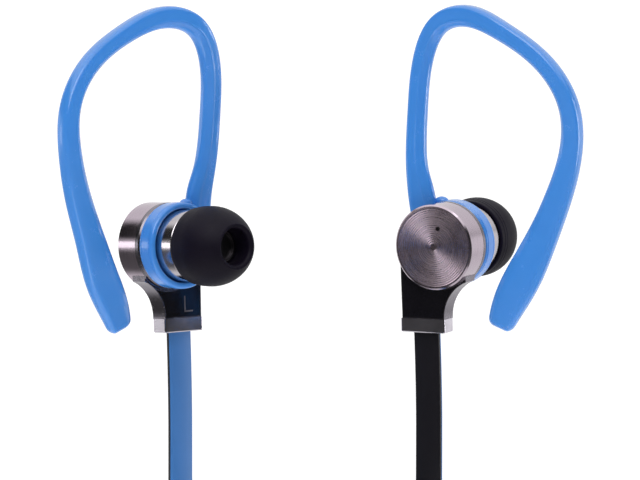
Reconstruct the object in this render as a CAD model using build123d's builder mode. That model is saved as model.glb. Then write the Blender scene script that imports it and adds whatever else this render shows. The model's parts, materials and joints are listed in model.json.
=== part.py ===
"""Wired in-ear earphones with ear hooks: two turned metal earpieces on flat cables.

Each earpiece is drawn once in its own frame, then set on the left and the right:
local Z runs along the nozzle with 0 just inside the outer disc face, local Y is up,
and the ear hook and the flare of the stem are on the -X side.
The whole part has +Z up, the left earpiece at -X, and its origin at the left nozzle's mouth.
"""
from build123d import *
import math
import os

# ---- driving dimensions, mm ------------------------------------------------
PUCK_R = 6.8            # turned metal disc that holds the driver
PUCK_REAR = -0.6        # outer disc face
PUCK_DEPTH = 4.7        # front face of the stem's ring
PUCK_WALL = 0.65
PUCK_EDGE = 0.25        # bright chamfers
SHELL_FRONT = 3.72      # the shell ends here, against the stem's ring
NECK_R = 5.7            # barrel that carries the hook ring
NECK_END = 11.2
NOZZLE_R = 2.45
NOZZLE_LIP_R = 2.72
NOZZLE_END = 17.2       # the mouth of the nozzle, origin of the left earpiece
SOUND_BORE_R = 1.95
RUNNING_GAP = 0.05      # radial gap of the parts that turn or slide
FIT_GAP = 0.02          # between pieces that are pressed or bonded together

TIP_R = 6.33
TIP_REAR = 11.6
TIP_CROWN = 20.4

RING_R = 6.9            # ring of the ear hook
RING_REAR = 4.8
RING_FRONT = 7.9

STEM_REAR = 0.8         # the stem's faces along the nozzle axis
STEM_FRONT = 3.8
STEM_PLATE = 0.45
STEM_LEFT = -1.0
STEM_RIGHT = 6.5
STEM_BOTTOM = -11.7
COLLAR_BOTTOM = -13.9

CABLE_W = 4.4           # flat cable
CABLE_T = 1.1
CABLE_X = 2.9           # where the cable leaves, in the earpiece's frame
STEM_MID = (STEM_REAR + STEM_FRONT) / 2

TILT = 2.6              # both nozzles point up a little, degrees
LEFT_TURN = 42.0        # turn of each earpiece about the vertical, degrees
RIGHT_TURN = 151.0
EAR_SPACING = 44.84     # between the centres of the two discs
EAR_STAGGER = -4.33

HANK_X = 12.74          # middle of the put-away hank
HANK_Y = 12.5
HANK_TOP = -74.0        # centre height of its upper bends
HANK_RUN = 70.0         # straight run between the bends
HANK_LAYER = 4.6        # one layer of cable behind the other
BRANCH_X = 19.84        # outermost run, straight below the earpieces
TURN_PITCH = 1.6
TRUNK_IN = 13.5
TRUNK_OUT = 18.3
SPLIT_TOP = -104.0
SPLIT_H = 13.0
TAIL_TOP = -156.0
RELIEF_TOP = -170.0

JACK_R = 1.75
JACK_LENGTH = 14.0
MOULD_TOP = -182.0
MOULD_BOTTOM = -199.0
JACK_FACE = -201.0      # shoulder of the plug, where a socket's face meets it

# Centre line of the ear hook in the earpiece's frame: x, y, z, half width, half thickness
HOOK_STATIONS = [
    (4.3, 1.6, 5.75, 2.1, 1.2),
    (4.75, 5.4, 5.6, 2.3, 1.3),
    (5.3, 8.6, 5.65, 2.15, 1.4),
    (5.95, 11.4, 6.0, 1.8, 1.5),
    (6.35, 14.6, 6.5, 1.62, 1.55),
    (6.45, 21.0, 7.45, 1.55, 1.55),
    (5.75, 29.3, 8.45, 1.58, 1.55),
    (3.0, 34.5, 8.5, 1.68, 1.6),
    (-2.2, 36.15, 7.6, 1.78, 1.6),
    (-9.1, 34.0, 6.5, 1.6, 1.52),
    (-16.8, 29.0, 6.05, 1.55, 1.5),
    (-21.0, 22.2, 6.15, 1.6, 1.55),
    (-21.2, 15.3, 6.15, 1.8, 1.55),
    (-19.3, 8.2, 5.5, 2.15, 1.55),
    (-16.6, 1.6, 4.8, 2.55, 1.5),
    (-13.5, -4.9, 3.75, 3.05, 1.45),
    (-10.85, -9.9, 3.3, 2.65, 1.35),
    (-9.65, -12.9, 3.05, 2.05, 1.1),
]

# Free cables, each from its collar down to the hank: points of the route
LEFT_ROUTE = [(-7.41, 12.58, -13.16), (-7.1, 12.2, -22.6), (-7.1, 12.0, -38.0),
              (-7.1, 7.9, -53.0), (-7.1, 7.9, -62.0)]
RIGHT_ROUTE = [(32.19, 12.35, -13.16), (32.58, 12.8, -22.6), (32.58, 13.0, -38.0),
               (32.58, 17.1, -53.0), (32.58, 17.1, -62.0)]


def ear_plane(turn, centre):
    """Frame of one earpiece: x and y lie in the disc, z runs along the nozzle."""
    heading = math.radians(turn)
    lift = math.radians(TILT)
    across = (math.cos(heading), math.sin(heading), 0)
    out = (math.sin(heading) * math.cos(lift), -math.cos(heading) * math.cos(lift), math.sin(lift))
    return Plane(origin=centre, x_dir=across, z_dir=out)


left_out = ear_plane(LEFT_TURN, (0, 0, 0)).z_dir
left_disc = -left_out * NOZZLE_END
right_disc = left_disc + Vector(EAR_SPACING, EAR_STAGGER, 0)
EARS = {"left": ear_plane(LEFT_TURN, left_disc), "right": ear_plane(RIGHT_TURN, right_disc)}

# Half sections of turned pieces are drawn as (radius, height) on this plane and spun about Z
HALF = Plane.XZ

# ============================================================================
# Earpiece: turned shell, cap and nozzle
# ============================================================================

SHELL_IN = PUCK_R - PUCK_WALL
RIM_R = PUCK_R - PUCK_EDGE
CAP_SEAT = PUCK_REAR + 0.5
FRONT_WALL = 0.6
SPIGOT_R = 4.5
STEM_SLOT_W = 3.4
STEM_SLOT_T = 1.4

with BuildPart() as puck_shell:
    with BuildSketch(HALF):
        with BuildLine():
            Polyline(
                (RIM_R, PUCK_REAR),
                (PUCK_R, PUCK_REAR + PUCK_EDGE),
                (PUCK_R, SHELL_FRONT),
                (SHELL_IN, SHELL_FRONT),
                (SHELL_IN, CAP_SEAT),
                (RIM_R, CAP_SEAT),
                close=True,
            )
        make_face()
    revolve(axis=Axis.Z)
    # way in for the wires, above the stem
    with BuildSketch(Plane.XZ.offset(SHELL_IN - 2)):
        with Locations((CABLE_X, STEM_MID)):
            Rectangle(STEM_SLOT_W, STEM_SLOT_T)
    extrude(amount=4, mode=Mode.SUBTRACT)

CAP_R = RIM_R - FIT_GAP
CAP_FACE = PUCK_REAR + 0.03
CAP_BACK = PUCK_REAR + 0.7
GROOVE_PITCH = 0.33
GROOVE_DEPTH = 0.055
GROOVE_FROM = 0.5
GROOVE_TO = 6.3
VENT_R = 0.38
VENT_AT = (-0.85, 3.0)

with BuildPart() as face_cap:
    with BuildSketch(HALF):
        with BuildLine():
            grooves = [(0, CAP_FACE)]
            ring_r = GROOVE_FROM
            while ring_r < GROOVE_TO:
                grooves.append((ring_r, CAP_FACE))
                grooves.append((ring_r + GROOVE_PITCH / 2, CAP_FACE + GROOVE_DEPTH))
                ring_r += GROOVE_PITCH
            Polyline(
                *grooves,
                (CAP_R, CAP_FACE),
                (CAP_R, CAP_SEAT),
                (SHELL_IN - FIT_GAP, CAP_SEAT),
                (SHELL_IN - FIT_GAP, CAP_BACK),
                (0, CAP_BACK),
                close=True,
            )
        make_face()
    revolve(axis=Axis.Z)
    with BuildSketch(Plane.XY.offset(PUCK_REAR)):
        with Locations(VENT_AT):
            Circle(VENT_R)
    extrude(amount=2, mode=Mode.SUBTRACT)

CLOTH_T = 0.12          # acoustic cloth behind the vent, and the woven mesh in the nozzle
DAMPER_R = 0.9

with BuildPart() as vent_damper:
    with BuildSketch(Plane.XY.offset(CAP_BACK)):
        with Locations(VENT_AT):
            Circle(DAMPER_R)
    extrude(amount=CLOTH_T)

BEAD_AT = 6.2           # bead of the hook ring runs in a groove of the neck
BEAD_HALF = 0.22
BEAD_DEPTH = 0.2
CHAMBER_R = 4.4
CHAMBER_END = NECK_END - 0.6
CONE_END = NECK_END + 1.5   # the shoulder runs down to the nozzle here
LIP_REAR = NOZZLE_END - 1.1
LIP_EDGE = 0.25
MESH_SEAT = 16.7
MESH_R = 2.2

with BuildPart() as nozzle_housing:
    with BuildSketch(HALF):
        with BuildLine():
            Polyline(
                (CHAMBER_R, PUCK_DEPTH - FRONT_WALL),
                (SPIGOT_R - FIT_GAP, PUCK_DEPTH - FRONT_WALL),
                (SPIGOT_R - FIT_GAP, PUCK_DEPTH),
                (NECK_R, PUCK_DEPTH),
                (NECK_R, BEAD_AT - BEAD_HALF - RUNNING_GAP),
                (NECK_R - BEAD_DEPTH - RUNNING_GAP, BEAD_AT - BEAD_HALF - RUNNING_GAP),
                (NECK_R - BEAD_DEPTH - RUNNING_GAP, BEAD_AT + BEAD_HALF + RUNNING_GAP),
                (NECK_R, BEAD_AT + BEAD_HALF + RUNNING_GAP),
                (NECK_R, NECK_END - 0.2),
                (NECK_R - 0.2, NECK_END),
                (NOZZLE_R + LIP_EDGE, CONE_END - LIP_EDGE),
                (NOZZLE_R, CONE_END),
                (NOZZLE_R, LIP_REAR),
                (NOZZLE_LIP_R, LIP_REAR + LIP_EDGE),
                (NOZZLE_LIP_R, NOZZLE_END - LIP_EDGE),
                (NOZZLE_LIP_R - LIP_EDGE, NOZZLE_END),
                (MESH_R, NOZZLE_END),
                (MESH_R, MESH_SEAT),
                (SOUND_BORE_R, MESH_SEAT),
                (SOUND_BORE_R, CONE_END - LIP_EDGE),
                (CHAMBER_R, CHAMBER_END),
                close=True,
            )
        make_face()
    revolve(axis=Axis.Z)

MESH_HOLE = 0.3
MESH_STEP = 0.5
MESH_ROWS = 7
MESH_RIM = 0.35

with BuildPart() as nozzle_mesh:
    with BuildSketch(Plane.XY.offset(MESH_SEAT)):
        Circle(MESH_R - FIT_GAP)
        with GridLocations(MESH_STEP, MESH_STEP, MESH_ROWS, MESH_ROWS) as grid:
            inner = [spot for spot in grid.locations if spot.position.length < MESH_R - MESH_RIM]
        with Locations(inner):
            Rectangle(MESH_HOLE, MESH_HOLE, mode=Mode.SUBTRACT)
    extrude(amount=CLOTH_T)

# ============================================================================
# Moving-coil driver behind the disc
# ============================================================================

DRIVER_R = 4.9
DRIVER_REAR = 1.3
DRIVER_FRONT = PUCK_DEPTH - FRONT_WALL
BASKET_T = 0.35         # pressed frame of the driver
BASKET_HOLES = 6
YOKE_R = 3.0
YOKE_WALL = 0.4
YOKE_REAR = DRIVER_REAR - 0.2
YOKE_FRONT = DRIVER_REAR + 1.6
MAGNET_R = 2.1
MAGNET_H = 1.0
MAGNET_REAR = YOKE_REAR + YOKE_WALL
TOP_PLATE_H = 0.4

with BuildPart() as driver_frame:
    with BuildSketch(HALF):
        with BuildLine():
            Polyline(
                (YOKE_R, DRIVER_REAR),
                (DRIVER_R - 0.6, DRIVER_REAR),
                (DRIVER_R, DRIVER_REAR + 0.8),
                (DRIVER_R, DRIVER_FRONT),
                (DRIVER_R - BASKET_T, DRIVER_FRONT),
                (DRIVER_R - BASKET_T, DRIVER_REAR + 1.1),
                (DRIVER_R - 0.75, DRIVER_REAR + BASKET_T),
                (YOKE_R, DRIVER_REAR + BASKET_T),
                close=True,
            )
        make_face()
    revolve(axis=Axis.Z)
    with BuildSketch(Plane.XY.offset(DRIVER_REAR)):
        with PolarLocations(YOKE_R + 0.55, BASKET_HOLES):
            Circle(0.3)
    extrude(amount=BASKET_T, mode=Mode.SUBTRACT)

with BuildPart() as driver_yoke:
    with BuildSketch(HALF):
        with BuildLine():
            Polyline(
                (0, YOKE_REAR),
                (YOKE_R, YOKE_REAR),
                (YOKE_R, YOKE_FRONT),
                (YOKE_R - YOKE_WALL, YOKE_FRONT),
                (YOKE_R - YOKE_WALL, MAGNET_REAR),
                (0, MAGNET_REAR),
                close=True,
            )
        make_face()
    revolve(axis=Axis.Z)

with BuildPart() as driver_magnet:
    with BuildSketch(Plane.XY.offset(MAGNET_REAR)):
        Circle(MAGNET_R)
    extrude(amount=MAGNET_H)

with BuildPart() as driver_top_plate:
    with BuildSketch(Plane.XY.offset(MAGNET_REAR + MAGNET_H)):
        Circle(MAGNET_R + 0.05)
    extrude(amount=TOP_PLATE_H)
    chamfer(driver_top_plate.edges().group_by(Axis.Z)[-1], 0.1)

COIL_IN = MAGNET_R + 0.15
COIL_WALL = 0.18
COIL_TOP = DRIVER_REAR + 2.1
COIL_H = 1.1

with BuildPart() as voice_coil:
    with BuildSketch(Plane.XY.offset(COIL_TOP - COIL_H)):
        Circle(COIL_IN + COIL_WALL)
        Circle(COIL_IN, mode=Mode.SUBTRACT)
    extrude(amount=COIL_H)

DIAPHRAGM_T = 0.08
DOME_H = 0.55
ROLL_H = 0.4
TRIM_H = 0.5            # the outline is closed this far below the coil's top, then trimmed
COIL_SEAT_R = COIL_IN + COIL_WALL
ROLL_OUT_R = DRIVER_R - 0.4


def membrane_outline(height):
    """Half section under a domed centre and a rolled surround, down to the coil's top."""
    dome_mid = (COIL_SEAT_R / 2, height + 0.75 * DOME_H)
    dome = ThreePointArc((0, height + DOME_H), dome_mid, (COIL_SEAT_R, height))
    roll_mid = ((COIL_SEAT_R + ROLL_OUT_R) / 2, height + ROLL_H)
    roll = ThreePointArc(dome @ 1, roll_mid, (ROLL_OUT_R, height))
    Polyline(roll @ 1, (ROLL_OUT_R, COIL_TOP - TRIM_H), (0, COIL_TOP - TRIM_H), dome @ 0)


with BuildPart() as diaphragm:
    with BuildSketch(HALF):
        with BuildLine():
            membrane_outline(COIL_TOP + DIAPHRAGM_T)
        make_face()
    revolve(axis=Axis.Z)
    with BuildSketch(HALF):
        with BuildLine():
            membrane_outline(COIL_TOP)
        make_face()
    revolve(axis=Axis.Z, mode=Mode.SUBTRACT)
    # the rim left below the roll is trimmed off
    with BuildSketch(Plane.XY.offset(COIL_TOP - TRIM_H)):
        Circle(DRIVER_R)
    extrude(amount=TRIM_H, mode=Mode.SUBTRACT)

BOARD_T = 0.3
BOARD_REAR = DRIVER_REAR - 0.05 - BOARD_T
BOARD_AT = (1.6, -4.0)
BOARD_L = 3.6
BOARD_W = 1.6
LAND_R = 0.42
LAND_H = 0.15

with BuildPart() as terminal_board:
    with BuildSketch(Plane.XY.offset(BOARD_REAR)):
        with Locations(BOARD_AT):
            RectangleRounded(BOARD_L, BOARD_W, 0.3)
    extrude(amount=BOARD_T)
    # two solder lands
    with BuildSketch(Plane.XY.offset(BOARD_REAR)):
        with Locations(BOARD_AT):
            with GridLocations(BOARD_L / 2, 0, 2, 1):
                Circle(LAND_R)
    extrude(amount=-LAND_H)

# ============================================================================
# Stem: side frame between two gloss plates, metal collar at its foot
# ============================================================================

SADDLE_R = PUCK_R + 0.01
FLARE_CENTRE = (-7.3, -11.4)
FLARE_R = 6.3
FLARE_X = -5.0
FLARE_Y = FLARE_CENTRE[1] + math.sqrt(FLARE_R ** 2 - (FLARE_X - FLARE_CENTRE[0]) ** 2)
STRAIGHT_TOP_X = 6.7


def on_saddle(x):
    """Point of the puck's lower edge at this x."""
    return (x, -math.sqrt(SADDLE_R ** 2 - x ** 2))


def stem_outline():
    """Closed outline of the stem: straight on the right, flared to the puck on the left."""
    flare_mid = math.radians(35)
    flare_point = (
        FLARE_CENTRE[0] + FLARE_R * math.cos(flare_mid),
        FLARE_CENTRE[1] + FLARE_R * math.sin(flare_mid),
    )
    Polyline((STEM_LEFT, FLARE_CENTRE[1]), (STEM_LEFT, STEM_BOTTOM), (STEM_RIGHT, STEM_BOTTOM),
             on_saddle(STRAIGHT_TOP_X))
    ThreePointArc(on_saddle(STRAIGHT_TOP_X), (0, -SADDLE_R), on_saddle(FLARE_X))
    Line(on_saddle(FLARE_X), (FLARE_X, FLARE_Y))
    ThreePointArc((FLARE_X, FLARE_Y), flare_point, (STEM_LEFT, FLARE_CENTRE[1]))


PLATE_INSET = 0.2       # rim left round each plate
PLATE_TOP_R = 7.42      # upper edge of the inner plate, clear of the lip
TONGUE_W = 5.76
TONGUE_T = 1.9
TONGUE_END = -12.4
CRIMP_END = -13.1
WIRE_BORE_W = 3.4
WIRE_BORE_T = 1.4
FLANGE_R = 7.1          # lip of the frame round the puck, above the inner plate
FLANGE_FRONT = 4.1
RING_GAP = 0.04
RING_OUT = SADDLE_R + 0.01
SPIGOT_WALL = 0.5       # the ring's skirt reaches this far into the shell
SPIGOT_DEPTH = 0.5
BORE_TOP = -3.4

with BuildPart() as stem_frame:
    with BuildSketch(Plane.XY.offset(STEM_REAR)):
        with BuildLine():
            stem_outline()
        make_face()
    extrude(amount=STEM_FRONT - STEM_REAR)
    # a shallow bed for each gloss plate, with a thin rim round it
    for bed_floor, top_r in ((STEM_REAR, SADDLE_R), (STEM_FRONT - STEM_PLATE, PLATE_TOP_R)):
        with BuildSketch(Plane.XY.offset(bed_floor)):
            with BuildLine():
                stem_outline()
            make_face()
            offset(amount=FIT_GAP - PLATE_INSET, kind=Kind.INTERSECTION)
            Circle(top_r - FIT_GAP, mode=Mode.SUBTRACT)
        extrude(amount=STEM_PLATE, mode=Mode.SUBTRACT)
    # lip round the puck, up to the ring
    with BuildSketch(Plane.XY.offset(STEM_FRONT - STEM_PLATE)):
        with BuildLine():
            stem_outline()
        make_face()
        Circle(FLANGE_R, mode=Mode.INTERSECT)
    extrude(amount=FLANGE_FRONT - STEM_FRONT + STEM_PLATE)
    # ring that closes the front of the puck
    with BuildSketch(HALF):
        with BuildLine():
            Polyline(
                (SPIGOT_R, PUCK_DEPTH - FRONT_WALL),
                (SHELL_IN - SPIGOT_WALL, PUCK_DEPTH - FRONT_WALL),
                (SHELL_IN - SPIGOT_WALL, SHELL_FRONT - SPIGOT_DEPTH),
                (SHELL_IN - FIT_GAP, SHELL_FRONT - SPIGOT_DEPTH),
                (SHELL_IN - FIT_GAP, SHELL_FRONT + RING_GAP),
                (RING_OUT, SHELL_FRONT + RING_GAP),
                (RING_OUT, PUCK_DEPTH - PUCK_EDGE),
                (RING_OUT - PUCK_EDGE, PUCK_DEPTH),
                (SPIGOT_R, PUCK_DEPTH),
                close=True,
            )
        make_face()
    revolve(axis=Axis.Z)
    # tongue that goes down into the collar
    with BuildSketch(Plane.XZ.offset(-STEM_BOTTOM)):
        with Locations((CABLE_X, STEM_MID)):
            Rectangle(TONGUE_W, TONGUE_T)
    extrude(amount=STEM_BOTTOM - TONGUE_END)
    # bore for the wires, from the tongue up to the puck
    with BuildSketch(Plane.XZ.offset(-TONGUE_END)):
        with Locations((CABLE_X, STEM_MID)):
            Rectangle(WIRE_BORE_W, WIRE_BORE_T)
    extrude(amount=TONGUE_END - BORE_TOP, mode=Mode.SUBTRACT)

with BuildPart() as stem_outer_plate:
    with BuildSketch(Plane.XY.offset(STEM_REAR)):
        with BuildLine():
            stem_outline()
        make_face()
        offset(amount=-PLATE_INSET, kind=Kind.INTERSECTION)
    extrude(amount=STEM_PLATE)

with BuildPart() as stem_inner_plate:
    with BuildSketch(Plane.XY.offset(STEM_FRONT - STEM_PLATE)):
        with BuildLine():
            stem_outline()
        make_face()
        offset(amount=-PLATE_INSET, kind=Kind.INTERSECTION)
        Circle(PLATE_TOP_R, mode=Mode.SUBTRACT)
    extrude(amount=STEM_PLATE)

COLLAR_W = 7.85
COLLAR_T = 3.2
COLLAR_R = 0.35
COLLAR_EDGE = 0.15
POCKET_W = TONGUE_W + 2 * FIT_GAP
POCKET_T = TONGUE_T + 2 * FIT_GAP

with BuildPart() as stem_collar:
    with BuildSketch(Plane.XZ.offset(-STEM_BOTTOM)):
        with Locations((CABLE_X, STEM_MID)):
            RectangleRounded(COLLAR_W, COLLAR_T, COLLAR_R)
            Rectangle(POCKET_W, POCKET_T, mode=Mode.SUBTRACT)
    extrude(amount=STEM_BOTTOM - COLLAR_BOTTOM)
    chamfer(stem_collar.faces().sort_by(Axis.Y)[0].outer_wire().edges(), COLLAR_EDGE)

with BuildPart() as cable_crimp:
    with BuildSketch(Plane.XZ.offset(-TONGUE_END)):
        with Locations((CABLE_X, STEM_MID)):
            Rectangle(TONGUE_W, TONGUE_T)
            Rectangle(CABLE_W + 2 * FIT_GAP, CABLE_T + 2 * FIT_GAP, mode=Mode.SUBTRACT)
    extrude(amount=TONGUE_END - CRIMP_END)

with BuildPart() as cable_grommet:
    with BuildSketch(Plane.XZ.offset(-CRIMP_END)):
        with Locations((CABLE_X, STEM_MID)):
            Rectangle(TONGUE_W, TONGUE_T)
            Rectangle(CABLE_W + 2 * FIT_GAP, CABLE_T + 2 * FIT_GAP, mode=Mode.SUBTRACT)
    extrude(amount=CRIMP_END - COLLAR_BOTTOM)

WIRE_R = 0.14
BOARD_EDGE = BOARD_AT[1] - BOARD_W / 2
BOARD_MID = BOARD_REAR + BOARD_T / 2
WIRE_ENDS = [(1.0, 1.6), (2.2, 2.6)]    # x at the board, x in the stem's bore

with BuildPart() as lead_wires:
    for board_x, bore_x in WIRE_ENDS:
        with BuildLine() as wire_path:
            FilletPolyline(
                (bore_x, TONGUE_END, STEM_MID),
                (bore_x, BOARD_EDGE - 0.55, STEM_MID),
                (board_x, BOARD_EDGE - 0.4, BOARD_MID),
                (board_x, BOARD_EDGE, BOARD_MID),
                radius=0.25,
            )
        with BuildSketch(Plane.XZ.offset(-TONGUE_END)):
            with Locations((bore_x, STEM_MID)):
                Circle(WIRE_R)
        sweep(path=wire_path.line)

# ============================================================================
# Ear hook, one soft moulding: ring that turns on the neck, and the loop
# ============================================================================

PUCK_CLEAR = 0.2        # the loop passes the puck with this gap
RING_WELD = 0.8         # the loop grows out of the ring to this depth
RING_EDGE = 0.3
HOOK_ROUND = 0.65       # corner radius of the loop's section over its half thickness

stations = [Vector(x, y, z) for x, y, z, _, _ in HOOK_STATIONS]
hook_line = Spline(*stations)

with BuildPart() as ear_hook:
    for spot, (_, _, _, half_width, half_thickness) in zip(stations, HOOK_STATIONS):
        along = hook_line % hook_line.param_at_point(spot)
        across = along.cross(Vector(0, 0, 1))
        with BuildSketch(Plane(origin=spot, x_dir=across, z_dir=along)):
            RectangleRounded(2 * half_width, 2 * half_thickness, HOOK_ROUND * half_thickness)
    loft()
    # the loop stays clear of the puck and the neck
    with BuildSketch(Plane.XY):
        Circle(PUCK_R + PUCK_CLEAR)
    extrude(amount=RING_REAR, mode=Mode.SUBTRACT)
    with BuildSketch(Plane.XY.offset(RING_REAR)):
        Circle(RING_R - RING_WELD)
    extrude(amount=NECK_END - RING_REAR, mode=Mode.SUBTRACT)
    with BuildSketch(HALF):
        with BuildLine():
            Polyline(
                (NECK_R + RUNNING_GAP, RING_REAR),
                (RING_R - RING_EDGE / 2, RING_REAR),
                (RING_R, RING_REAR + RING_EDGE / 2),
                (RING_R, RING_FRONT - RING_EDGE),
                (RING_R - RING_EDGE, RING_FRONT),
                (NECK_R + RUNNING_GAP, RING_FRONT),
                (NECK_R + RUNNING_GAP, BEAD_AT + BEAD_HALF),
                (NECK_R - BEAD_DEPTH, BEAD_AT + BEAD_HALF - 0.1),
                (NECK_R - BEAD_DEPTH, BEAD_AT - BEAD_HALF + 0.1),
                (NECK_R + RUNNING_GAP, BEAD_AT - BEAD_HALF),
                close=True,
            )
        make_face()
    revolve(axis=Axis.Z)

# ============================================================================
# Silicone ear tip: dome folded back over a sleeve that slides on the nozzle
# ============================================================================

SLEEVE_IN = NOZZLE_LIP_R + RUNNING_GAP
SLEEVE_REAR = 12.9
SLEEVE_OUT = 3.35
SLEEVE_JOIN = 16.9      # the dome leaves the sleeve here
SKIRT_OUT = 6.1
SKIRT_IN = 5.55
CROWN_R = 3.02
MOUTH_DROP = 0.5

with BuildPart() as ear_tip:
    with BuildSketch(HALF):
        with BuildLine():
            Polyline(
                (SLEEVE_IN, TIP_CROWN - MOUTH_DROP),
                (SLEEVE_IN, SLEEVE_REAR),
                (SLEEVE_OUT, SLEEVE_REAR),
                (SLEEVE_OUT, SLEEVE_JOIN),
            )
            under_dome = ThreePointArc((SLEEVE_OUT, SLEEVE_JOIN), (5.1, 16.1), (5.75, 13.9))
            Polyline(under_dome @ 1, (SKIRT_IN, TIP_REAR), (SKIRT_OUT, TIP_REAR))
            skirt = ThreePointArc((SKIRT_OUT, TIP_REAR), (6.27, 12.7), (TIP_R, 14.0))
            dome = ThreePointArc(skirt @ 1, (5.58, 17.8), (3.6, TIP_CROWN))
            ThreePointArc(dome @ 1, (CROWN_R, TIP_CROWN - 0.05), (SLEEVE_IN, TIP_CROWN - MOUTH_DROP))
        make_face()
    revolve(axis=Axis.Z)

# ============================================================================
# Both earpieces: the same pieces, set in the left and the right frame
# ============================================================================

EAR_PIECES = {
    "puck_shell": puck_shell,
    "face_cap": face_cap,
    "vent_damper": vent_damper,
    "nozzle_housing": nozzle_housing,
    "nozzle_mesh": nozzle_mesh,
    "driver_frame": driver_frame,
    "driver_yoke": driver_yoke,
    "driver_magnet": driver_magnet,
    "driver_top_plate": driver_top_plate,
    "voice_coil": voice_coil,
    "diaphragm": diaphragm,
    "terminal_board": terminal_board,
    "stem_frame": stem_frame,
    "stem_outer_plate": stem_outer_plate,
    "stem_inner_plate": stem_inner_plate,
    "stem_collar": stem_collar,
    "cable_crimp": cable_crimp,
    "cable_grommet": cable_grommet,
    "lead_wires": lead_wires,
    "ear_hook": ear_hook,
    "ear_tip": ear_tip,
}

os.makedirs("parts", exist_ok=True)
for side, frame in EARS.items():
    for piece_name, piece in EAR_PIECES.items():
        placed = piece.part.moved(frame.location)
        placed.label = f"{side}_{piece_name}"
        export_step(placed, f"parts/{placed.label}.step")

# ============================================================================
# Free cables: one flat tube from each collar down to the hank
# ============================================================================


def bend_radii(route):
    """Radius of each corner: 0.45 of its shorter run over the tangent of half the turn."""
    points = [Vector(*p) for p in route]
    radii = []
    for before, corner, after in zip(points, points[1:], points[2:]):
        run_in = corner - before
        run_out = after - corner
        half_turn = math.radians(run_in.get_angle(run_out)) / 2
        radii.append(0.45 * min(run_in.length, run_out.length) / math.tan(half_turn))
    return radii


CABLE_SECTION = CABLE_W * CABLE_T
cables = {}
for side, route in (("left", LEFT_ROUTE), ("right", RIGHT_ROUTE)):
    radii = bend_radii(route)
    with BuildPart() as cable:
        with BuildLine() as path:
            FilletPolyline(*route, radius=radii)
        with BuildSketch(Plane(route[0], x_dir=EARS[side].x_dir, z_dir=path.line % 0)):
            Rectangle(CABLE_W, CABLE_T)
        sweep(path=path.line)
    cables[side] = cable
    cable_length = sum(edge.length for edge in path.edges())
    print(side, "cable radii", [round(r, 1) for r in radii])
    print(side, "cable length", round(cable_length, 2), "volume over section times length",
          round(cable.part.volume / (CABLE_SECTION * cable_length), 4))

# ============================================================================
# Hank: each cable wound as a flat racetrack, one layer in front of the other.
# Profiles are drawn in the XZ plane of their layer and are one cable width deep.
# ============================================================================

HALF_T = CABLE_T / 2
LOW_CENTRE = HANK_TOP - HANK_RUN
SPLIT_BOTTOM = SPLIT_TOP - SPLIT_H
LEAD_TOP = LEFT_ROUTE[-1][2]
LAYERS = {
    "left": HANK_Y - HANK_LAYER,
    "trunk": HANK_Y,
    "right": HANK_Y + HANK_LAYER,
}


def layer_plane(layer):
    """Front face of one layer, looking along +Y."""
    return Plane.XZ.offset(-(LAYERS[layer] + CABLE_W / 2))


def racetrack(outer, inner):
    """Upright racetrack of wound turns, with its open eye."""
    with Locations((HANK_X, HANK_TOP - HANK_RUN / 2)):
        SlotCenterToCenter(HANK_RUN, 2 * outer, rotation=90)
        SlotCenterToCenter(HANK_RUN, 2 * inner, rotation=90, mode=Mode.SUBTRACT)


def upright_strip(x, low, high):
    """Straight strip of one cable."""
    with Locations((x, (low + high) / 2)):
        Rectangle(CABLE_T, high - low)


def s_outline(from_x, from_z, to_x, to_z):
    """Strip of one cable that leaves one upright run and joins another: two equal arcs."""
    drop = from_z - to_z
    half_angle = math.atan(abs(to_x - from_x) / drop)
    bend = drop / (2 * math.sin(2 * half_angle))
    hand = math.copysign(1, to_x - from_x)
    turn = hand * math.degrees(2 * half_angle)
    start = 180 if hand > 0 else 0
    upper = (from_x + hand * bend, from_z)
    lower = (to_x - hand * bend, to_z)
    edges = {}
    for face in (-1, 1):
        high = CenterArc(upper, bend - face * HALF_T, start, turn)
        low = CenterArc(lower, bend + face * HALF_T, 180 - start, turn)
        edges[face] = (high @ 0, low @ 0)
    Line(edges[-1][0], edges[1][0])
    Line(edges[-1][1], edges[1][1])
    print("lead in the hank bends at", round(bend, 1))


hanks = {}
for side, hand in (("left", -1), ("right", 1)):
    with BuildPart() as hank:
        with BuildSketch(layer_plane(side)):
            racetrack(BRANCH_X + HALF_T, BRANCH_X - TURN_PITCH - HALF_T)
            upright_strip(HANK_X + hand * BRANCH_X, HANK_TOP, LEAD_TOP)
            with BuildLine():
                s_outline(HANK_X + hand * (BRANCH_X - TURN_PITCH), HANK_TOP, HANK_X, SPLIT_TOP)
            make_face()
        extrude(amount=CABLE_W)
    hanks[side] = hank

with BuildPart() as trunk_hank:
    with BuildSketch(layer_plane("trunk")):
        racetrack(TRUNK_OUT + HALF_T, TRUNK_IN - HALF_T)
        upright_strip(HANK_X - TRUNK_OUT, TAIL_TOP, LOW_CENTRE)
        with BuildLine():
            s_outline(HANK_X, SPLIT_BOTTOM, HANK_X - TRUNK_IN, LOW_CENTRE)
        make_face()
    extrude(amount=CABLE_W)

TAIL_X = HANK_X - TRUNK_OUT

with BuildPart() as trunk_tail:
    with BuildSketch(Plane.XY.offset(RELIEF_TOP)):
        with Locations((TAIL_X, HANK_Y)):
            Rectangle(CABLE_T, CABLE_W)
    extrude(amount=TAIL_TOP - RELIEF_TOP)

# Straps that hold the turns together, one round each side of the hank
TIE_HEIGHT = 8.0
TIE_WALL = 0.7
TIE_CORNER = 1.2
BUNDLE_OUT = BRANCH_X + HALF_T
BUNDLE_IN = TRUNK_IN - HALF_T
BUNDLE_W = BUNDLE_OUT - BUNDLE_IN
BUNDLE_D = 2 * HANK_LAYER + CABLE_W

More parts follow.
